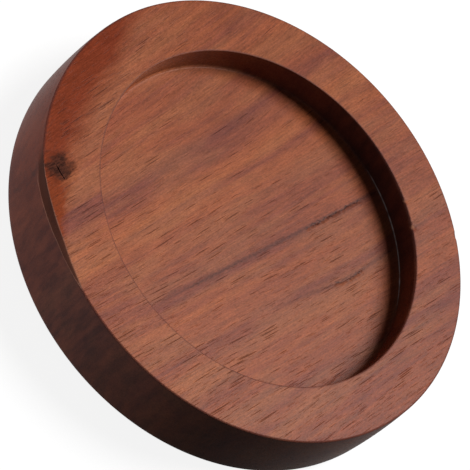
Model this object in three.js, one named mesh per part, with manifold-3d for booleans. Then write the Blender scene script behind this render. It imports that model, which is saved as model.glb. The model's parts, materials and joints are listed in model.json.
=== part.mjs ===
// Pepper mill tray: a turned hardwood disc with a flat-bottomed well for the foot of a mill,
// standing on small rubber feet glued into seats drilled in its underside.
// Millimetres, +Z up. The origin is on the table, on the tray's turning axis.

import * as THREE from 'three';
import { mergeVertices } from 'three/addons/utils/BufferGeometryUtils.js';
import Module from 'manifold-3d';

// The well that the mill stands in
const WELL_DIAMETER = 68.4;
const WELL_DEPTH = 6;
const WELL_CORNER_RADIUS = 0.6; // left by the tool's nose where the wall meets the floor
const WELL_EDGE_RADIUS = 0.4; // sanded edge of the well's mouth

// The disc around and under the well
const RIM_WIDTH = 10.8;
const FLOOR_THICKNESS = 8.5;
const SIDE_FLARE = 0.5; // the side leans out by this much from the rim down to the underside
const RIM_EDGE_RADIUS = 0.6;
const BASE_EDGE_RADIUS = 1;

// The feet and their seats
const FOOT_COUNT = 4;
const FOOT_DIAMETER = 10;
const FOOT_PROUD = 1.5; // how far a foot stands out below the wood
const FOOT_TAPER = 0.4; // how much narrower the tip is than the glued end, on the radius
const FOOT_EDGE_RADIUS = 0.5;
const FOOT_INSET = 6; // wood left between a seat and the rounded edge of the underside
const SEAT_DEPTH = 1.2;
const SEAT_CLEARANCE = 0.3; // on the radius, around a foot
const GLUE_FILM = 0.2; // between a foot and the end of its seat

// Fineness of the facets
const TRAY_SEGMENTS = 96;
const FOOT_SEGMENTS = 32;
const ARC_STEPS = 4;

// Derived sizes
const wellRadius = WELL_DIAMETER / 2;
const rimRadius = wellRadius + RIM_WIDTH;
const baseRadius = rimRadius + SIDE_FLARE;
const undersideHeight = FOOT_PROUD;
const wellFloorHeight = undersideHeight + FLOOR_THICKNESS;
const rimHeight = wellFloorHeight + WELL_DEPTH;
const footRadius = FOOT_DIAMETER / 2;
const footHeight = FOOT_PROUD + SEAT_DEPTH - GLUE_FILM;
const seatRadius = footRadius + SEAT_CLEARANCE;
const footCircleRadius = baseRadius - BASE_EDGE_RADIUS - FOOT_INSET - seatRadius;

const wood = new THREE.MeshStandardMaterial({ color: 0x8f5842, roughness: 0.5, metalness: 0 });
const rubber = new THREE.MeshStandardMaterial({ color: 0x2b2624, roughness: 0.85, metalness: 0 });

const wasm = await Module();
wasm.setup();

// One half of a turned outline through the given corners, from axis to axis.
// A corner with a radius becomes an arc that touches the lines on both sides of it.
function turnedOutline(corners) {
  const points = [];
  corners.forEach(({ r, z, radius = 0 }, index) => {
    const corner = new THREE.Vector2(r, z);
    if (radius === 0) {
      points.push(corner);
      return;
    }
    const before = corners[index - 1];
    const after = corners[index + 1];
    const back = new THREE.Vector2(before.r, before.z).sub(corner).normalize();
    const onward = new THREE.Vector2(after.r, after.z).sub(corner).normalize();
    const halfAngle = Math.acos(back.dot(onward)) / 2;
    const bisector = back.clone().add(onward).normalize();
    const centre = corner.clone().addScaledVector(bisector, radius / Math.sin(halfAngle));
    const touch = radius / Math.tan(halfAngle);
    const start = corner.clone().addScaledVector(back, touch).sub(centre);
    const end = corner.clone().addScaledVector(onward, touch).sub(centre);
    const sweep = Math.atan2(start.cross(end), start.dot(end));
    for (let step = 0; step <= ARC_STEPS; step += 1) {
      const turn = (sweep * step) / ARC_STEPS;
      points.push(start.clone().rotateAround(new THREE.Vector2(), turn).add(centre));
    }
  });
  return points;
}

// A solid of revolution about Z
function turn(corners, segments) {
  return new THREE.LatheGeometry(turnedOutline(corners), segments).rotateX(Math.PI / 2);
}

function toSolid(geometry) {
  const bare = geometry.clone();
  bare.deleteAttribute('normal');
  bare.deleteAttribute('uv');
  const merged = mergeVertices(bare);
  const vertProperties = new Float32Array(merged.attributes.position.array);
  const triVerts = new Uint32Array(merged.index.array);
  return new wasm.Manifold(new wasm.Mesh({ numProp: 3, vertProperties, triVerts }));
}

function toGeometry(solid) {
  const mesh = solid.getMesh();
  const geometry = new THREE.BufferGeometry();
  geometry.setAttribute('position', new THREE.BufferAttribute(mesh.vertProperties, 3));
  geometry.setIndex(new THREE.BufferAttribute(mesh.triVerts, 1));
  geometry.computeVertexNormals();
  return geometry;
}

// Where each foot stands, evenly round the underside, with the first between +X and +Y
function footPlaces() {
  const places = [];
  for (let index = 0; index < FOOT_COUNT; index += 1) {
    const angle = (2 * Math.PI * (index + 0.5)) / FOOT_COUNT;
    places.push(new THREE.Vector2(footCircleRadius, 0).rotateAround(new THREE.Vector2(), angle));
  }
  return places;
}

// The wooden disc: one turned outline, then a drilled seat for each foot
function trayBody() {
  let body = toSolid(turn([
    { r: 0, z: undersideHeight },
    { r: baseRadius, z: undersideHeight, radius: BASE_EDGE_RADIUS },
    { r: rimRadius, z: rimHeight, radius: RIM_EDGE_RADIUS },
    { r: wellRadius, z: rimHeight, radius: WELL_EDGE_RADIUS },
    { r: wellRadius, z: wellFloorHeight, radius: WELL_CORNER_RADIUS },
    { r: 0, z: wellFloorHeight },
  ], TRAY_SEGMENTS));

  // The drill starts below the underside, as far as the seat is deep
  const drill = new THREE.CylinderGeometry(seatRadius, seatRadius, 2 * SEAT_DEPTH, FOOT_SEGMENTS);
  drill.rotateX(Math.PI / 2);
  for (const place of footPlaces()) {
    const placed = drill.clone().translate(place.x, place.y, undersideHeight);
    body = body.subtract(toSolid(placed));
  }
  const mesh = new THREE.Mesh(toGeometry(body), wood);
  mesh.name = 'tray_body';
  return mesh;
}

// A moulded rubber foot with a tapered side, a rounded tip edge and a flat face to stand on
function rubberFoot(place, index) {
  const shape = toSolid(turn([
    { r: 0, z: 0 },
    { r: footRadius - FOOT_TAPER, z: 0, radius: FOOT_EDGE_RADIUS },
    { r: footRadius, z: footHeight },
    { r: 0, z: footHeight },
  ], FOOT_SEGMENTS));
  const mesh = new THREE.Mesh(toGeometry(shape), rubber);
  mesh.name = `rubber_foot_${index + 1}`;
  mesh.position.set(place.x, place.y, 0);
  return mesh;
}

const tray = new THREE.Group();
tray.name = 'pepper_mill_tray';
tray.add(trayBody());
footPlaces().forEach((place, index) => tray.add(rubberFoot(place, index)));

export default tray;
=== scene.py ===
"""Pepper mill tray: the looks. A turned hardwood disc with its grain, pores, knot and worn edges.

Metres, +Z up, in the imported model's frame. The photograph is seen from -Y and above.
"""
import json
import math

import bmesh
import bpy
from mathutils import Matrix, Vector, noise


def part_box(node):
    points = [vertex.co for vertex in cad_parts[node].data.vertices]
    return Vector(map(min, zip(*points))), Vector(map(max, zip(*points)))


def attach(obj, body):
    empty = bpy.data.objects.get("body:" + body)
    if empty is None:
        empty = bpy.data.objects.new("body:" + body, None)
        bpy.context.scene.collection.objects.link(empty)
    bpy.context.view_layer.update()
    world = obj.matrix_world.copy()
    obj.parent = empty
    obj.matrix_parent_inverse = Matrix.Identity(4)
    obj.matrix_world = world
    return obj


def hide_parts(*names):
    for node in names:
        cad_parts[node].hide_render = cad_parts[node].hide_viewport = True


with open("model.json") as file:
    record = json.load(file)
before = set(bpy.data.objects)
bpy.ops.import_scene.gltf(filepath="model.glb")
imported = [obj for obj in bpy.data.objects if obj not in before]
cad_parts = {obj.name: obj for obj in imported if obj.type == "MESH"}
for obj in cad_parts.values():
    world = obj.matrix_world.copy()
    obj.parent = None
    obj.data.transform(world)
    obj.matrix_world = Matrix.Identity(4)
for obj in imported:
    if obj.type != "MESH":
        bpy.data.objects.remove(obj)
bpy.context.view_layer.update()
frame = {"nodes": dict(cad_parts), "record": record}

MM = 0.001

# Sizes of the turned outline, as on the CAD model, but with crisper rim edges and a slight swell
BODY_LOW, BODY_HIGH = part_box("tray_body")
MOUNTS = {mount["name"]: mount for mount in frame["record"]["mounts"]}
UNDERSIDE = BODY_LOW.z
RIM_TOP = BODY_HIGH.z
WELL_FLOOR = MOUNTS["well_floor"]["pos_m"][2]
RIM_RADIUS = 45.0 * MM
BASE_RADIUS = 45.5 * MM
WELL_RADIUS = 34.2 * MM
RIM_EDGE = 0.35 * MM
BASE_EDGE = 1.0 * MM
WELL_EDGE = 0.2 * MM
WELL_CORNER = 0.6 * MM
SIDE_LEAN = 0.035
SIDE_CROWN = 0.25 * MM
SEAT_DEPTH = 1.2 * MM
SEAT_CLEARANCE = 0.3 * MM
FEET = [name for name in sorted(frame["nodes"]) if name.startswith("rubber_foot")]

# Fineness of the tray's mesh
SEGMENTS = 480
SHORTEST_STEP = 0.34 * MM
RING_STEP = 0.55 * MM
EDGE_STEP = 0.14 * MM
ARC_RINGS = 7
SEAT_SEGMENTS = 64
EDGE_ROOM = 3.0 * MM
SHARP_ANGLE = math.radians(50.0)

# The wood: the grain runs close to Y, turned clockwise by this angle
GRAIN_TURN = math.radians(7.5)
GRAIN_AXIS = Vector((math.sin(GRAIN_TURN), math.cos(GRAIN_TURN), 0.0))


def grain_place(co):
    """Across and along the grain, in millimetres."""
    across = math.cos(GRAIN_TURN) * co.x - math.sin(GRAIN_TURN) * co.y
    along = math.sin(GRAIN_TURN) * co.x + math.cos(GRAIN_TURN) * co.y
    return across / MM, along / MM


# Marks of growth and wear, and places of painted light and shade, in millimetres across and along the
# grain, or degrees round the rim
MARK_ROOM = 1.2
KNOT = (-24.5, -34.3)
KNOT_SIZE = 4.0
KNOT_HOLLOW = 0.22
CRACK_START = (-25.2, -34.3)
CRACK_END = (-22.2, -34.7)
CRACK_DEPTH = 0.3
# Two veins: a place, bends before and after it, the torn stretch, the whole stretch, how dark
VEINS = (
    ((6.1, 20.0), (0.035, 0.01), (11.0, 30.0), (-30.0, 34.0), 1.15),
    ((18.3, 14.6), (0.12, -0.05), (9.0, 20.0), (-8.0, 30.0), 0.75),
)
VEIN_DEPTH = 0.06
VEIN_WANDER = 0.28
# The rim's rolled stretch falls away from a radius outwards, and carries painted shade from another
ROLLED_RIM = (160.0, 262.0)
ROLLED_SOFT = 30.0
ROLLED_FROM = 37.0
ROLLED_DROP = 0.85
ROLLED_CURVE = 1.6
RIM_SHADE_FROM = 35.8
# A sanded facet on the rim's edge: angle, leg on the rim, leg on the side
FACET = ((219, 0.0, 0.0), (224, 0.12, 1.3), (230, 0.4, 2.2), (238, 0.8, 1.1), (246, 0.95, 0.5),
         (254, 0.6, 0.3), (261, 0.0, 0.0))
WORN_REACH = 3.4
# Chips at the well's mouth and a nick in the rim: angle and size
CHIPS = ((64.0, 0.75), (54.5, 1.0), (59.0, 0.5), (70.0, 0.4), (97.0, 0.4))
CHIP_DROP = 0.4
NICK = (52.8, 0.9)
NICK_DEPTH = 0.35
# A painted highlight along the well's corner: its stretch, its soft ends and its height
CORNER_GLINT_SPAN = (22.0, 86.0)
CORNER_GLINT_SOFT = 18.0
CORNER_GLINT_HEIGHT = 0.38
WELL_OFF_CENTRE = 0.29 * MM


def smooth(low, high, value):
    """0 at low and before it, 1 at high and beyond, an S-curve between; low may be the greater."""
    t = min(max((value - low) / (high - low), 0.0), 1.0)
    return t * t * (3.0 - 2.0 * t)


def between(span, soft, value):
    """1 inside the span, falling to 0 over a soft margin at both ends."""
    return smooth(span[0], span[0] + soft, value) * (1.0 - smooth(span[1] - soft, span[1], value))


# The turned outline

def arc(centre_r, centre_z, radius, start, end):
    """Points of an arc in the outline's plane; the angles are in degrees."""
    points = []
    for step in range(ARC_RINGS + 1):
        angle = math.radians(start + (end - start) * step / ARC_RINGS)
        points.append((centre_r + radius * math.cos(angle), centre_z + radius * math.sin(angle)))
    return points


def line(start, end, step):
    """Points strictly between two points, about a step apart."""
    count = max(1, round(math.dist(start, end) / step))
    return [(start[0] + (end[0] - start[0]) * k / count, start[1] + (end[1] - start[1]) * k / count)
            for k in range(1, count)]


def tray_outline():
    """The half outline from the underside's rounded edge, over the rim, to the middle of the well."""
    base = arc(BASE_RADIUS - BASE_EDGE, UNDERSIDE + BASE_EDGE, BASE_EDGE, -90, 2)
    rim = arc(RIM_RADIUS - RIM_EDGE, RIM_TOP - RIM_EDGE, RIM_EDGE, 2, 90)
    mouth = arc(WELL_RADIUS + WELL_EDGE, RIM_TOP - WELL_EDGE, WELL_EDGE, 90, 180)
    corner = arc(WELL_RADIUS - WELL_CORNER, WELL_FLOOR + WELL_CORNER, WELL_CORNER, 0, -90)
    upper_side = (rim[0][0] + SIDE_LEAN * EDGE_ROOM, rim[0][1] - EDGE_ROOM)
    outer_rim = (rim[-1][0] - EDGE_ROOM, RIM_TOP)
    points = base + line(base[-1], upper_side, 2 * RING_STEP) + [upper_side]
    points += line(upper_side, rim[0], EDGE_STEP) + rim + line(rim[-1], outer_rim, EDGE_STEP)
    beside_mouth = (mouth[0][0] + 0.2 * MM, RIM_TOP)
    points += [outer_rim] + line(outer_rim, beside_mouth, RING_STEP) + [beside_mouth]
    points += mouth + line(mouth[-1], corner[0], RING_STEP)
    points += corner + line(corner[-1], (0.0, WELL_FLOOR), 1.2 * RING_STEP)
    return points


def ring_segments(radius):
    """Fewer segments on the small rings near the axis."""
    count = SEGMENTS
    while count > 30 and 2 * math.pi * radius / count < SHORTEST_STEP:
        count //= 2
    return count


def add_ring(mesh, radius, height, count):
    ring = []
    for step in range(count):
        angle = 2 * math.pi * step / count
        ring.append(mesh.verts.new((radius * math.cos(angle), radius * math.sin(angle), height)))
    return ring


def bridge(mesh, lower, upper):
    """Faces between two rings; the upper one has as many points as the lower, or half."""
    count = len(upper)
    for k in range(count):
        near, far = upper[k], upper[(k + 1) % count]
        if len(lower) == count:
            mesh.faces.new((lower[k], lower[(k + 1) % count], far, near))
            continue
        first, middle, last = lower[2 * k], lower[2 * k + 1], lower[(2 * k + 2) % len(lower)]
        mesh.faces.new((first, middle, near))
        mesh.faces.new((middle, last, far))
        mesh.faces.new((middle, far, near))


def ring_edges(mesh, ring):
    return [mesh.edges.get((a, b)) or mesh.edges.new((a, b)) for a, b in zip(ring, ring[1:] + ring[:1])]


def add_underside(mesh, outer_ring):
    """The flat underside, with a drilled seat around each foot."""
    rims = ring_edges(mesh, outer_ring)
    for name in FEET:
        low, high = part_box(name)
        centre = (low + high) / 2
        radius = (high.x - low.x) / 2 + SEAT_CLEARANCE
        mouth = add_ring(mesh, radius, UNDERSIDE, SEAT_SEGMENTS)
        end = add_ring(mesh, radius, UNDERSIDE + SEAT_DEPTH, SEAT_SEGMENTS)
        for vert in mouth + end:
            vert.co += Vector((centre.x, centre.y, 0.0))
        bridge(mesh, mouth[::-1], end[::-1])
        mesh.faces.new(end[::-1])
        rims += ring_edges(mesh, mouth)
    bmesh.ops.triangle_fill(mesh, edges=rims, use_beauty=True, normal=(0.0, 0.0, -1.0))


def refine(mesh, wanted, cuts):
    """Finer faces where a mark is modelled."""
    edges = set()
    for face in mesh.faces:
        if len(face.verts) == 4 and wanted(face.calc_center_median()):
            edges.update(face.edges)
    bmesh.ops.subdivide_edges(mesh, edges=list(edges), cuts=cuts, use_grid_fill=True)


def near_knot(co):
    across, along = grain_place(co)
    return co.z > RIM_TOP - 0.1 * MM and math.dist((across, along), KNOT) < KNOT_SIZE + MARK_ROOM


def vein_offset(place, centre, bends):
    """Distance in millimetres across the grain from a vein, which bends at its centre."""
    beyond = place[1] - centre[1]
    return place[0] - centre[0] - bends[0] * min(beyond, 0.0) - bends[1] * max(beyond, 0.0)


def near_vein(co):
    if abs(co.z - WELL_FLOOR) > 0.1 * MM:
        return False
    place = grain_place(co)
    for centre, bends, torn in [row[:3] for row in VEINS]:
        if abs(vein_offset(place, centre, bends)) < MARK_ROOM and torn[0] < place[1] < torn[1]:
            return True
    return False


def off_segment(point, start, end):
    """Distance from a point to a straight stretch, and how far along it the nearest place is."""
    dx, dy = end[0] - start[0], end[1] - start[1]
    t = ((point[0] - start[0]) * dx + (point[1] - start[1]) * dy) / (dx * dx + dy * dy)
    t = min(max(t, 0.0), 1.0)
    return math.dist(point, (start[0] + t * dx, start[1] + t * dy)), t


def rolled_from(angle):
    """Radius in millimetres at which the worn rim starts to fall away, at an angle in degrees."""
    late = smooth(218.0, 258.0, angle) + smooth(190.0, 162.0, angle)
    return ROLLED_FROM + (RIM_RADIUS / MM - ROLLED_FROM) * min(late, 1.0)


def facet_legs(angle):
    """The facet's legs on the rim and on the side, in millimetres, at an angle in degrees."""
    for (start, rim_a, side_a), (end, rim_b, side_b) in zip(FACET, FACET[1:]):
        if start <= angle < end:
            t = (angle - start) / (end - start)
            return rim_a + (rim_b - rim_a) * t, side_a + (side_b - side_a) * t
    return 0.0, 0.0


def over_facet(angle, radius, height):
    """How far a point stands out over the facet, and the facet's normal along the radius and up."""
    on_rim, on_side = facet_legs(angle)
    length = math.hypot(on_rim, on_side)
    if min(on_rim, on_side) < 0.03:
        return -1.0, (0.0, 0.0)
    outward, upward = on_side / length, on_rim / length
    return (radius - RIM_RADIUS / MM) * outward + height * upward + on_rim * outward, (outward, upward)


def rim_place(co):
    """Angle in degrees, and radius and height over the rim in millimetres."""
    angle = math.degrees(math.atan2(co.y, co.x)) % 360.0
    return angle, math.hypot(co.x, co.y) / MM, (co.z - RIM_TOP) / MM


def wear_rim(co):
    """The rim's outer edge rolled, sanded and nicked; also how far sanded a point is, and how much
    painted highlight it carries along the facet's edges.
    """
    angle, radius, height = rim_place(co)
    if height < -WORN_REACH or radius < WELL_RADIUS / MM + 1.0:
        return co, 0.0, 0.0
    over, normal = over_facet(angle, radius, height)
    on_side = height < -RIM_EDGE / MM
    if over > 0.0:
        radius -= over * normal[0]
        height -= over * normal[1]
    start = rolled_from(angle)
    rolled = max(radius - start, 0.0) / (RIM_RADIUS / MM + 0.3 - start)
    rolled *= between(ROLLED_RIM, ROLLED_SOFT, angle)
    height -= ROLLED_DROP * rolled ** ROLLED_CURVE * smooth(-3.0, -0.6, height)
    nick_off = math.hypot(math.radians(angle - NICK[0]) * radius, 2.0 * height)
    radius -= NICK_DEPTH * (1.0 - smooth(0.0, NICK[1], nick_off)) * smooth(43.5, 44.5, radius)
    scale = radius * MM / math.hypot(co.x, co.y)
    beside_line = abs(over) / max(normal[1] if on_side else normal[0], 0.05)
    # A painted highlight along both edges of the facet
    glint_share = (1.0 - smooth(0.04, 0.15, beside_line)) * smooth(0.1, 0.4, facet_legs(angle)[0])
    sanded = smooth(-0.05, 0.15, over)
    return Vector((co.x * scale, co.y * scale, RIM_TOP + height * MM)), sanded, glint_share


def chip_depth(co):
    """How deep a chip at the well's mouth is here, from 0 to 1."""
    angle, radius, height = rim_place(co)
    depth = 0.0
    for place, size in CHIPS:
        side = math.radians(angle - place) * radius / (0.55 * size)
        off = math.hypot(side, (radius - WELL_RADIUS / MM) / size, height / size)
        depth = max(depth, size * (1.0 - smooth(0.2, 1.0, off)))
    return depth


def painted_edge_shade(co):
    """1 on the rounded edges of the rim, which carry painted shade."""
    radius = math.hypot(co.x, co.y)
    mouth = math.hypot(radius - WELL_RADIUS - 0.5 * WELL_EDGE, co.z - RIM_TOP)
    outer = math.hypot(radius - RIM_RADIUS + 0.3 * RIM_EDGE, co.z - RIM_TOP + 0.3 * RIM_EDGE)
    return max(smooth(0.32 * MM, 0.12 * MM, mouth), smooth(0.34 * MM, 0.14 * MM, outer))


def corner_glint(co):
    """1 on a thin painted highlight along the well's corner."""
    angle, radius = rim_place(co)[:2]
    lift = (co.z - WELL_FLOOR) / MM
    if abs(radius - WELL_RADIUS / MM) > 0.5 or lift > 1.0:
        return 0.0
    broken = 0.65 + 0.7 * noise.noise(Vector((angle * 0.4, 5.0, 1.0)))
    thin = 1.0 - smooth(0.05, 0.16, abs(lift - CORNER_GLINT_HEIGHT))
    return between(CORNER_GLINT_SPAN, CORNER_GLINT_SOFT, angle) * thin * max(broken, 0.0)


def crown_side(co):
    """The turned side swells a little between its edges."""
    radius = math.hypot(co.x, co.y)
    middle, half = (RIM_TOP + UNDERSIDE) / 2, (RIM_TOP - UNDERSIDE) / 2
    swell = SIDE_CROWN * max(1.0 - ((co.z - middle) / half) ** 2, 0.0)
    swell *= smooth(44.2 * MM, 44.9 * MM, radius)
    return Vector((co.x * (1.0 + swell / radius), co.y * (1.0 + swell / radius), co.z))


def shift_well(co):
    """The well was cut a little off the centre of the outside."""
    radius = math.hypot(co.x, co.y)
    share = 1.0 - smooth(WELL_RADIUS + WELL_EDGE, RIM_RADIUS - 1.0 * MM, radius)
    return Vector((co.x + WELL_OFF_CENTRE * share, co.y, co.z))


def groove_depth(co):
    """Depth in millimetres of the knot's hollow and crack and of the open veins."""
    place = grain_place(co)
    rough = noise.noise(Vector((place[0] * 1.6, place[1] * 1.6, 0.5)))
    if co.z > RIM_TOP - 1.5 * MM:
        off = math.dist(place, KNOT) + 0.6 * rough
        depth = KNOT_HOLLOW * (1.0 - smooth(0.3 * KNOT_SIZE, KNOT_SIZE, off))
        crack_off, t = off_segment(place, CRACK_START, CRACK_END)
        width = 0.05 + 0.12 * math.sin(math.pi * t)
        return depth + CRACK_DEPTH * (1.0 - smooth(0.02, width, crack_off + 0.10 * rough))
    wander = VEIN_WANDER * noise.noise(Vector((3.7, place[1] * 0.55, 1.0)))
    depth = 0.0
    for centre, bends, torn in [row[:3] for row in VEINS]:
        core = 1.0 - smooth(0.05, 0.42, abs(vein_offset(place, centre, bends) - wander))
        depth += VEIN_DEPTH * between(torn, 3.0, place[1]) * core * (0.6 + rough)
    return max(depth, 0.0)


def turned_mesh():
    """The outline turned round the axis, with the seats in its underside and finer faces at the marks."""
    mesh = bmesh.new()
    rings = []
    for radius, height in tray_outline():
        rings.append(add_ring(mesh, radius, height, ring_segments(radius)))
    for lower, upper in zip(rings, rings[1:]):
        bridge(mesh, lower, upper)
    mesh.faces.new(rings[-1])
    add_underside(mesh, rings[0])
    refine(mesh, near_knot, cuts=4)
    refine(mesh, near_vein, cuts=3)
    return mesh


def wear(mesh):
    """Moves the vertices at the marks, and notes on each how much of a mark it carries."""
    groove, chipped, edge_shade, sanded, facet_glint, glinted = [
        mesh.verts.layers.float.new(name)
        for name in ("groove", "chipped", "edge_shade", "sanded", "facet_glint", "glinted")]
    for vert in mesh.verts:
        vert[edge_shade] = painted_edge_shade(vert.co)
        vert[glinted] = corner_glint(vert.co)
        if near_knot(vert.co) or near_vein(vert.co):
            depth = groove_depth(vert.co)
            vert[groove] = depth
            vert.co.z -= depth * MM
        if vert.co.z > RIM_TOP - (WORN_REACH + 0.2) * MM:
            chip = chip_depth(vert.co)
            vert[chipped] = chip
            place, vert[sanded], vert[facet_glint] = wear_rim(vert.co)
            vert.co = place - Vector((0.0, 0.0, CHIP_DROP * chip * MM))
        if math.hypot(vert.co.x, vert.co.y) > WELL_RADIUS + 5.0 * MM:
            vert.co = crown_side(vert.co)
        if vert.co.z > WELL_FLOOR - 1.0 * MM:
            vert.co = shift_well(vert.co)


def make_tray():
    mesh = turned_mesh()
    wear(mesh)
    bmesh.ops.recalc_face_normals(mesh, faces=mesh.faces)
    data = bpy.data.meshes.new("turned_tray")
    mesh.to_mesh(data)
    mesh.free()
    for face in data.polygons:
        face.use_smooth = True
    data.set_sharp_from_angle(angle=SHARP_ANGLE)
    tray = bpy.data.objects.new("turned_tray", data)
    bpy.context.scene.collection.objects.link(tray)
    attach(tray, "root")
    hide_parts("tray_body")
    return tray


# Materials

class Graph:
    """Adds nodes to a material and links them."""

    def __init__(self, tree):
        self.tree = tree
        tree.nodes.clear()

    def add(self, kind, **settings):
        node = self.tree.nodes.new(kind)
        for key, value in settings.items():
            setattr(node, key, value)
        return node

    def put(self, socket, value):
        if isinstance(value, bpy.types.NodeSocket):
            self.tree.links.new(value, socket)
        else:
            socket.default_value = value

    def math(self, operation, a, b=0.0, clamp=False):
        node = self.add("ShaderNodeMath", operation=operation, use_clamp=clamp)
        self.put(node.inputs[0], a)
        self.put(node.inputs[1], b)
        return node.outputs[0]

    def vector(self, operation, a, b):
        node = self.add("ShaderNodeVectorMath", operation=operation)
        self.put(node.inputs[0], a)
        self.put(node.inputs[1], b)
        return node.outputs["Value"] if operation in ("DOT_PRODUCT", "DISTANCE") else node.outputs[0]

    def parts(self, vector):
        node = self.add("ShaderNodeSeparateXYZ")
        self.put(node.inputs[0], vector)
        return node.outputs

    def join(self, x, y, z):
        node = self.add("ShaderNodeCombineXYZ")
        for socket, value in zip(node.inputs, (x, y, z)):
            self.put(socket, value)
        return node.outputs[0]

    def millimetres(self):
        """The object's own coordinates, in millimetres."""
        place = self.add("ShaderNodeTexCoord").outputs["Object"]
        return self.vector("MULTIPLY", place, (1 / MM, 1 / MM, 1 / MM))

    def attribute(self, name):
        return self.add("ShaderNodeAttribute", attribute_name=name).outputs["Fac"]

    def swing(self, pattern, size):
        """A pattern from 0 to 1 as a swing of this size about 0."""
        return self.math("MULTIPLY", self.math("SUBTRACT", pattern, 0.5), size)

    def noise(self, vector, scale, detail=2.0, roughness=0.5):
        """Noise whose grain size differs along X, Y and Z; scale is in cycles per millimetre."""
        node = self.add("ShaderNodeTexNoise")
        self.put(node.inputs["Vector"], self.vector("MULTIPLY", vector, scale))
        node.inputs["Scale"].default_value = 1.0
        node.inputs["Detail"].default_value = detail
        node.inputs["Roughness"].default_value = roughness
        return node.outputs[0]

    def cells(self, vector, scale):
        node = self.add("ShaderNodeTexVoronoi", feature="F1")
        self.put(node.inputs["Vector"], self.vector("MULTIPLY", vector, scale))
        node.inputs["Scale"].default_value = 1.0
        return node.outputs["Distance"], node.outputs["Color"]

    def step(self, value, low, high, to_low=0.0, to_high=1.0):
        """A smooth step from to_low to to_high as the value goes from low to high."""
        node = self.add("ShaderNodeMapRange", interpolation_type="SMOOTHSTEP")
        for socket, number in zip(node.inputs, (value, low, high, to_low, to_high)):
            self.put(socket, number)
        return node.outputs[0]

    def ramp(self, value, stops, interpolation="LINEAR"):
        node = self.add("ShaderNodeValToRGB")
        node.color_ramp.interpolation = interpolation
        elements = node.color_ramp.elements
        while len(elements) < len(stops):
            elements.new(0.5)
        for element, (place, colour) in zip(elements, stops):
            element.position = place
            element.color = (*colour, 1.0)
        self.put(node.inputs[0], value)
        return node.outputs[0]

    def mix(self, factor, a, b, blend="MIX"):
        node = self.add("ShaderNodeMix", data_type="RGBA", blend_type=blend)
        self.put(node.inputs[0], factor)
        for socket, value in ((node.inputs[6], a), (node.inputs[7], b)):
            self.put(socket, value if isinstance(value, bpy.types.NodeSocket) else (*value, 1.0))
        return node.outputs[2]

    def bump(self, height, distance, strength=1.0):
        node = self.add("ShaderNodeBump")
        node.inputs["Strength"].default_value = strength
        node.inputs["Distance"].default_value = distance
        self.put(node.inputs["Height"], height)
        return node.outputs[0]


def new_material(name):
    material = bpy.data.materials.new(name)
    material.use_nodes = True
    graph = Graph(material.node_tree)
    shader = graph.add("ShaderNodeBsdfPrincipled")
    out = graph.add("ShaderNodeOutputMaterial")
    graph.put(out.inputs["Surface"], shader.outputs[0])
    return material, graph, shader


WOOD_PURPLE = (0.170, 0.048, 0.034)
WOOD_BROWN = (0.262, 0.075, 0.035)
WOOD_ORANGE = (0.330, 0.098, 0.037)
WOOD_TAN = (0.300, 0.118, 0.052)
# End grain, darker than the face, with a painted grey sheen in its cast
END_GRAIN_AND_SHEEN = (0.052, 0.032, 0.034)
END_GRAIN_RED_AND_SHEEN = (0.119, 0.050, 0.042)
WOOD_DARK = (0.050, 0.015, 0.010)
VEIN_COLOUR = (0.088, 0.030, 0.026)
# Painted shade on the rim's rolled stretch, deep red, and brighter orange on its fringe
ROLLED_RIM_SHADE = (0.172, 0.030, 0.011)
ROLLED_EDGE_SHADE = (0.205, 0.040, 0.012)
WOOD_PALE = (0.42, 0.20, 0.11)
# Painted highlight along the facet's edges
FACET_GLINT_COLOUR = (0.30, 0.16, 0.12)
SANDED_BROWN = (0.062, 0.025, 0.018)
# A painted highlight in the well's corner
CORNER_GLINT = (0.80, 0.78, 0.80)
# Red, green and blue of painted light at the near and the far end of the grain: a painted sheen near,
# painted shade far
NEAR_SHEEN_FAR_SHADE = ((1.13, 0.91), (1.11, 0.85), (1.12, 0.85))
KNOT_BLACK = (0.018, 0.008, 0.006)
KNOT_BROWN = (0.092, 0.030, 0.018)
RUBBER_DARK = (0.018, 0.016, 0.015)
RUBBER_LIGHT = (0.032, 0.029, 0.027)
WOOD_SPECULAR = 0.055
WOOD_RELIEF = 0.05 * MM
RUBBER_RELIEF = 0.03 * MM


def grey(value):
    return (value, value, value)


# How light each growth band is, by its place across the grain in millimetres
GROWTH_BANDS = (
    (-46, 0.40), (-34, 0.50), (-28, 0.50), (-24, 0.58), (-20.5, 0.52), (-16.5, 0.16), (-13.8, 0.34),
    (-11.4, 0.86), (-9.6, 0.80), (-8.2, 0.44), (-6, 0.82), (-3.8, 0.48), (1.5, 0.46), (6.2, 0.26),
    (9, 0.46), (13, 0.62), (18.3, 0.26), (20.5, 0.42), (24, 0.62), (28, 0.40), (34, 0.26), (46, 0.30),
)
BAND_HALF_WIDTH = 46.0


def growth_layers(g, place):
    """Coordinates in which the growth layers are flat: they wander, lean and stand off the upright."""
    across, along, up = g.parts(place)
    wander = g.swing(g.noise(place, (0.045, 0.014, 0.045)), 5.0)
    left = g.math("MAXIMUM", g.math("SUBTRACT", 6.0, across), 0.0)
    lean = g.math("MULTIPLY", g.math("MULTIPLY", left, along), 0.0036)
    tilt = g.math("MULTIPLY", up, 0.12)
    layer = g.math("ADD", g.math("ADD", across, lean), g.math("ADD", wander, tilt))
    return layer, g.join(layer, along, up)


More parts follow.
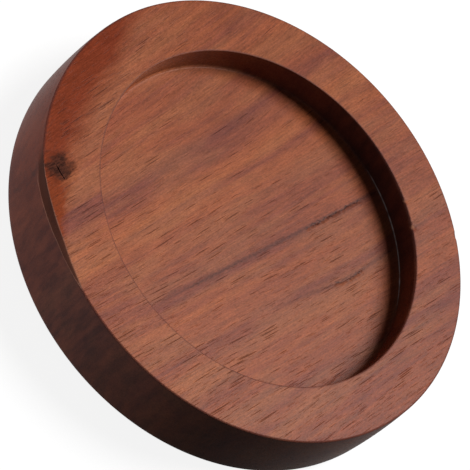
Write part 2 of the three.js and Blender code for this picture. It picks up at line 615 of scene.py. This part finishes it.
def banded_colour(g, layer, layered):
    """Broad growth bands as listed, narrower ones and fibres from stretched noise."""
    stops = [((x + BAND_HALF_WIDTH) / (2 * BAND_HALF_WIDTH), grey(light)) for x, light in GROWTH_BANDS]
    spread = g.math("ADD", g.math("DIVIDE", layer, 2 * BAND_HALF_WIDTH), 0.5)
    broad = g.ramp(spread, stops, "EASE")
    narrow = g.step(g.noise(layered, (0.75, 0.016, 0.12), detail=3.0, roughness=0.6), 0.30, 0.70)
    patch = g.step(g.noise(layered, (0.16, 0.045, 0.16), detail=3.0), 0.30, 0.70)
    band = g.math("ADD", g.math("MULTIPLY", broad, 0.60), g.math("MULTIPLY", narrow, 0.24))
    band = g.math("ADD", band, g.math("MULTIPLY", patch, 0.16))
    return g.ramp(band, ((0.18, WOOD_PURPLE), (0.50, WOOD_BROWN), (0.84, WOOD_ORANGE)))


def open_pores(g, layered):
    """Short dark dashes along the grain, in clusters, denser towards the viewer and the right."""
    across, along = g.parts(layered)[:2]
    room = g.noise(layered, (0.30, 0.05, 0.30), detail=3.0)
    room = g.math("ADD", room, g.math("MULTIPLY", along, -0.0042))
    room = g.math("ADD", room, g.math("MULTIPLY", across, 0.0016))
    far, shade = g.cells(layered, (2.8, 0.12, 2.8))
    pick, length = g.parts(shade)[:2]
    chosen = g.step(g.math("ADD", pick, g.math("MULTIPLY", room, 3.0)), 2.05, 2.25)
    reach = g.step(length, 0.0, 1.0, 0.16, 0.36)
    large = g.math("MULTIPLY", g.step(far, g.math("MULTIPLY", reach, 0.6), reach, 1.0, 0.0), chosen)
    fine_far, fine_shade = g.cells(layered, (4.4, 0.30, 4.4))
    fine_size = g.step(g.parts(fine_shade)[0], 0.2, 1.0, 0.12, 0.44)
    fine = g.step(fine_far, g.math("MULTIPLY", fine_size, 0.6), fine_size, 1.0, 0.0)
    return g.math("MAXIMUM", large, g.math("MULTIPLY", fine, 0.45))


def shaded(g, colour, pattern, spread, dark, light):
    """The colour times a pattern, from dark to light over the pattern's spread about a half."""
    stops = ((0.5 - spread, grey(dark)), (0.5 + spread, grey(light)))
    return g.mix(1.0, colour, g.ramp(pattern, stops), "MULTIPLY")


def shade_rolled_rim(g, colour, coords, pattern):
    """The rim's rolled stretch in painted shade, deep red where it turns from the light, with a brighter
    orange fringe of painted shade where it ends.
    """
    x, y = g.parts(coords)[:2]
    radius = g.vector("DISTANCE", g.join(x, y, 0.0), (0.0, 0.0, 0.0))
    half_turn = g.math("ARCTAN2", g.math("MULTIPLY", y, -1.0), g.math("MULTIPLY", x, -1.0))
    fringe = g.step(half_turn, 0.48, 1.38)
    late = g.math("ADD", fringe, g.step(half_turn, -0.30, 0.17, 1.0, 0.0), clamp=True)
    start = g.math("ADD", g.math("MULTIPLY", late, RIM_RADIUS / MM - RIM_SHADE_FROM), RIM_SHADE_FROM)
    start = g.math("ADD", start, g.swing(pattern, 3.0))
    blur = g.step(fringe, 0.25, 0.60, 4.6, 0.9)
    red = g.math("DIVIDE", g.math("SUBTRACT", radius, start), blur, clamp=True)
    red = g.math("MULTIPLY", red, g.step(late, 0.93, 1.0, 0.92, 0.0))
    return g.mix(red, colour, g.mix(g.step(fringe, 0.25, 0.6), ROLLED_RIM_SHADE, ROLLED_EDGE_SHADE))


def knotted(g, colour, place, across, along):
    """The knot at the rim's edge, dark and fibrous, cut off sharply on one side."""
    swirl = g.noise(place, (0.8, 0.5, 0.8), detail=5.0, roughness=0.7)
    threads = g.noise(place, (3.4, 0.8, 3.4), detail=3.0, roughness=0.7)
    beside = g.math("SUBTRACT", across, KNOT[0])
    beyond = g.math("SUBTRACT", along, KNOT[1])
    off = g.vector("DISTANCE", g.join(beside, beyond, 0.0), (0.0, 0.0, 0.0))
    off = g.math("ADD", off, g.swing(swirl, 7.0))
    edge = g.math("ADD", beside, g.math("MULTIPLY", beyond, 0.38))
    knot = g.math("MULTIPLY", g.step(off, 1.2, KNOT_SIZE, 1.0, 0.0), g.step(edge, 2.4, 2.9, 1.0, 0.0))
    fibres = g.ramp(threads, ((0.40, KNOT_BLACK), (0.66, KNOT_BROWN)))
    return g.mix(g.math("MULTIPLY", knot, 0.92), colour, fibres)


def stretch(g, along, span, soft):
    """1 along a stretch of the grain; its start is soft, and its end fades over 3 mm."""
    low, high = span
    return g.math("MULTIPLY", g.step(along, low, low + soft), g.step(along, high - 3.0, high, 1.0, 0.0))


def vein(g, colour, across, along, squiggle, centre, bends, torn, whole, dark):
    """A dark growth line along the grain, with wriggling cores that are darkest where it is torn."""
    beyond = g.math("SUBTRACT", along, centre[1])
    bend = g.math("ADD", g.math("MULTIPLY", g.math("MINIMUM", beyond, 0.0), bends[0]),
                  g.math("MULTIPLY", g.math("MAXIMUM", beyond, 0.0), bends[1]))
    side = g.math("SUBTRACT", across, g.math("ADD", bend, centre[0]))
    off = g.math("ADD", g.math("ABSOLUTE", side), g.swing(squiggle, 0.9))
    reach = stretch(g, along, whole, 14.0)
    opened = stretch(g, along, torn, 3.0)
    shade = g.math("MULTIPLY", g.step(off, 0.05, 0.80, 1.0, 0.0), reach)
    colour = g.mix(g.math("MULTIPLY", shade, 0.5 * dark), colour, VEIN_COLOUR)
    depth = g.math("ADD", g.math("MULTIPLY", opened, 0.5 * dark), g.math("MULTIPLY", reach, 0.22 * dark))
    depth = g.math("MULTIPLY", depth, g.step(squiggle, 0.40, 0.60, 1.0, 0.3))
    for turn in (0.0, 40.0, 80.0):
        line_place = g.join(centre[0] + turn, along, 0.0)
        wriggle = g.noise(line_place, (1.0, 0.8, 1.0), detail=3.0, roughness=0.6)
        off_core = g.math("ABSOLUTE", g.math("SUBTRACT", side, g.swing(wriggle, 2.2)))
        core = g.math("MULTIPLY", g.step(off_core, 0.06, 0.22, 1.0, 0.0), depth)
        colour = g.mix(core, colour, WOOD_DARK)
    return colour


def marked(g, colour):
    """Marks of the mesh: grooves darkened with their depth as painted shade, pale broken fibres in chips,
    painted shade on the rounded edges, the facet with a painted highlight along its edges, and a painted
    highlight in the well's corner.
    """
    # Grooves darken with their depth: painted shade in the knot's crack
    for name, low, high, most, mark in (("groove", 0.22, 0.45, 0.85, WOOD_DARK),
                                        ("chipped", 0.1, 0.6, 0.45, WOOD_PALE),
                                        # painted shade on the rounded edges
                                        ("edge_shade", 0.0, 1.0, 0.50, VEIN_COLOUR),
                                        ("sanded", 0.0, 1.0, 0.85, SANDED_BROWN),
                                        # painted highlight along the facet's edges
                                        ("facet_glint", 0.0, 1.0, 0.45, FACET_GLINT_COLOUR),
                                        # painted highlight in the well's corner
                                        ("glinted", 0.0, 1.0, 0.9, CORNER_GLINT)):
        colour = g.mix(g.step(g.attribute(name), low, high, 0.0, most), colour, mark)
    return colour


def grain_coordinates(g, coords):
    """Across the grain, along it and up."""
    turned = g.add("ShaderNodeVectorRotate", rotation_type="Z_AXIS")
    g.put(turned.inputs["Vector"], coords)
    turned.inputs["Angle"].default_value = GRAIN_TURN
    return turned.outputs[0]


def end_grain(g, colour, layered, speck, facing):
    """Cut fibre ends drink more oil, so end grain is darker, in soft stripes of growth; its greyer, bluer
    cast is a painted sheen.
    """
    end = g.math("POWER", g.math("ABSOLUTE", g.vector("DOT_PRODUCT", facing, GRAIN_AXIS)), 1.5)
    stripes = g.noise(layered, (0.45, 0.02, 0.14), detail=3.0, roughness=0.6)
    ends = g.ramp(stripes, ((0.38, END_GRAIN_AND_SHEEN), (0.64, END_GRAIN_RED_AND_SHEEN)))
    ends = shaded(g, ends, speck, 0.2, 0.88, 1.12)
    return g.mix(g.math("MULTIPLY", end, 0.85), colour, ends)


def wood_gloss(g, shader, facing, fibre, speck, pores):
    """Glossier on the side than on the top, and dull in pores and grooves and on the facet."""
    upward = g.math("ABSOLUTE", g.parts(facing)[2])
    rough = g.math("ADD", g.math("MULTIPLY", fibre, 0.12), g.step(upward, 0.3, 0.8, 0.16, 0.29))
    rough = g.math("ADD", rough, g.math("MULTIPLY", pores, 0.25))
    rough = g.math("ADD", rough, g.math("MULTIPLY", g.attribute("sanded"), 0.2))
    rough = g.math("ADD", rough, g.step(g.attribute("groove"), 0.0, 0.04, 0.0, 0.5))
    g.put(shader.inputs["Roughness"], rough)
    shader.inputs["Specular IOR Level"].default_value = WOOD_SPECULAR
    relief = g.math("SUBTRACT", g.math("MULTIPLY", g.math("ADD", fibre, speck), 0.4), pores)
    relief = g.math("MULTIPLY", relief, g.step(upward, 0.3, 0.8, 0.3, 1.0))
    g.put(shader.inputs["Normal"], g.bump(relief, WOOD_RELIEF, 0.6))


def wood_material():
    material, g, shader = new_material("oiled_hardwood")
    coords = g.millimetres()
    place = grain_coordinates(g, coords)
    across, along = g.parts(place)[:2]
    layer, layered = growth_layers(g, place)
    facing = g.add("ShaderNodeNewGeometry").outputs["Normal"]
    fibre = g.noise(layered, (3.4, 0.16, 3.4), detail=4.0, roughness=0.7)
    speck = g.noise(layered, (4.2, 1.5, 4.2), detail=3.0, roughness=0.7)
    mottle = g.noise(layered, (0.7, 0.18, 0.7), detail=3.0, roughness=0.6)
    tan = g.noise(layered, (0.22, 0.04, 0.22), detail=3.0)
    squiggle = g.noise(layered, (1.7, 1.1, 1.7), detail=2.0, roughness=0.6)
    pores = open_pores(g, layered)

    colour = banded_colour(g, layer, layered)
    colour = g.mix(g.step(tan, 0.42, 0.64, 0.0, 0.36), colour, WOOD_TAN)
    # Painted shade on the rim's rolled stretch
    colour = shade_rolled_rim(g, colour, coords, mottle)
    colour = shaded(g, colour, fibre, 0.16, 0.80, 1.18)
    colour = shaded(g, colour, speck, 0.16, 0.82, 1.18)
    colour = shaded(g, colour, mottle, 0.18, 0.90, 1.10)
    # Painted sheen towards the near end of the grain, painted shade towards the far end
    sheen_and_shade = [g.step(along, -42.0, 36.0, near, far) for near, far in NEAR_SHEEN_FAR_SHADE]
    colour = g.mix(1.0, colour, g.join(*sheen_and_shade), "MULTIPLY")
    colour = g.mix(g.math("MULTIPLY", pores, 0.58), colour, WOOD_DARK)
    for row in VEINS:
        colour = vein(g, colour, across, along, squiggle, *row)
    colour = knotted(g, colour, place, across, along)
    colour = end_grain(g, colour, layered, speck, facing)
    g.put(shader.inputs["Base Color"], marked(g, colour))
    wood_gloss(g, shader, facing, fibre, speck, pores)
    return material


def rubber_material():
    material, g, shader = new_material("dark_rubber")
    coords = g.millimetres()
    bloom = g.noise(coords, (0.5, 0.5, 0.5), detail=3.0)
    grain = g.noise(coords, (6.0, 6.0, 6.0), detail=2.0)
    g.put(shader.inputs["Base Color"], g.ramp(bloom, ((0.3, RUBBER_DARK), (0.7, RUBBER_LIGHT))))
    g.put(shader.inputs["Roughness"], g.math("ADD", g.math("MULTIPLY", bloom, 0.2), 0.65))
    g.put(shader.inputs["Normal"], g.bump(grain, RUBBER_RELIEF, 0.4))
    return material


# Floor, light and camera

FLOOR_SIZE = 8.0
# The floor's tone as it bounces light, what is added for the camera, and its glow to the camera
FLOOR_TONE = 0.06
FLOOR_TONE_SEEN = 0.10
FLOOR_GLOW_SEEN = 0.88
# Its glow in reflections, brighter at the left, and between which places in metres that changes
FLOOR_GLOW_LEFT = 0.36
FLOOR_GLOW_RIGHT = 0.14
FLOOR_GLOW_SPAN = (-0.06, 0.03)
ROOM_LIGHT = 0.09


def stage_floor():
    """A pale floor: white to the camera, with the tray's shadow, and dim as it bounces light."""
    bpy.ops.mesh.primitive_plane_add(size=FLOOR_SIZE)
    floor = bpy.context.object
    floor.name = "floor"
    material = bpy.data.materials.new("pale_floor")
    material.use_nodes = True
    g = Graph(material.node_tree)
    path = g.add("ShaderNodeLightPath").outputs
    mirrored = g.math("MAXIMUM", path["Is Glossy Ray"], path["Is Transmission Ray"])
    tone = g.math("ADD", g.math("MULTIPLY", path["Is Camera Ray"], FLOOR_TONE_SEEN), FLOOR_TONE)
    matt = g.add("ShaderNodeBsdfDiffuse")
    g.put(matt.inputs["Color"], g.join(tone, tone, tone))
    sideways = g.parts(g.add("ShaderNodeTexCoord").outputs["Object"])[0]
    reflected = g.step(sideways, *FLOOR_GLOW_SPAN, FLOOR_GLOW_LEFT, FLOOR_GLOW_RIGHT)
    seen = g.math("MULTIPLY", path["Is Camera Ray"], FLOOR_GLOW_SEEN)
    glow = g.add("ShaderNodeEmission")
    g.put(glow.inputs["Strength"], g.math("ADD", seen, g.math("MULTIPLY", mirrored, reflected)))
    both = g.add("ShaderNodeAddShader")
    g.put(both.inputs[0], matt.outputs[0])
    g.put(both.inputs[1], glow.outputs[0])
    out = g.add("ShaderNodeOutputMaterial")
    g.put(out.inputs["Surface"], both.outputs[0])
    floor.data.materials.append(material)


def stage_world():
    """Dim room light; the camera sees a white surround."""
    world = bpy.data.worlds.new("studio")
    bpy.context.scene.world = world
    world.use_nodes = True
    g = Graph(world.node_tree)
    path = g.add("ShaderNodeLightPath").outputs
    sky = g.add("ShaderNodeBackground")
    seen = g.math("MULTIPLY", path["Is Camera Ray"], 1.0 - ROOM_LIGHT)
    g.put(sky.inputs["Strength"], g.math("ADD", seen, ROOM_LIGHT))
    out = g.add("ShaderNodeOutputWorld")
    g.put(out.inputs["Surface"], sky.outputs[0])


RIM_CENTRE = Vector((0.0, 0.0, RIM_TOP))
LAMP_DISTANCE = 0.9


def direction(azimuth, elevation):
    """A unit vector; the azimuth is in degrees from +X towards +Y."""
    a, e = math.radians(azimuth), math.radians(elevation)
    return Vector((math.cos(e) * math.cos(a), math.cos(e) * math.sin(a), math.sin(e)))


def soft_light(name, azimuth, elevation, size, power):
    """An oval lamp; its size is its width and height."""
    data = bpy.data.lights.new(name, "AREA")
    data.shape = "ELLIPSE"
    data.size, data.size_y = size
    data.energy = power
    lamp = bpy.data.objects.new(name, data)
    lamp.location = RIM_CENTRE + LAMP_DISTANCE * direction(azimuth, elevation)
    lamp.rotation_euler = direction(azimuth, elevation).to_track_quat("Z", "Y").to_euler()
    bpy.context.scene.collection.objects.link(lamp)
    return lamp


# The photograph's view: seen from -Y, rolled, with its middle a little before the rim's centre
VIEW_ELEVATION = 47.76
VIEW_DISTANCE = 393.7 * MM
VIEW_AIM = RIM_CENTRE + Vector((-0.1, -9.0, 0.0)) * MM
VIEW_ROLL = math.radians(51.19)
LENS = 163.0
SENSOR = 36.0


def photo_camera():
    data = bpy.data.cameras.new("camera")
    data.lens = LENS
    data.sensor_width = SENSOR
    data.clip_start = 0.01
    camera = bpy.data.objects.new("camera", data)
    camera.location = RIM_CENTRE + VIEW_DISTANCE * direction(-90.0, VIEW_ELEVATION)
    ahead = (VIEW_AIM - camera.location).normalized()
    upright = ahead.to_track_quat("-Z", "Y").to_matrix()
    camera.rotation_euler = (upright @ Matrix.Rotation(VIEW_ROLL, 3, "Z")).to_euler()
    bpy.context.scene.collection.objects.link(camera)
    bpy.context.scene.camera = camera


photo_camera()
stage_floor()
stage_world()
soft_light("key", azimuth=66.0, elevation=53.0, size=(0.52, 0.52), power=11.0)
fill = soft_light("fill", azimuth=212.0, elevation=0.0, size=(0.30, 0.026), power=5.0)
# A long strip, whose own mirror image would be a hard streak on the wood
fill.visible_glossy = False

tray = make_tray()
tray.data.materials.append(wood_material())
rubber = rubber_material()
for foot in FEET:
    for slot in frame["nodes"][foot].material_slots:
        slot.material = rubber

bpy.context.scene.view_settings.view_transform = "Standard"
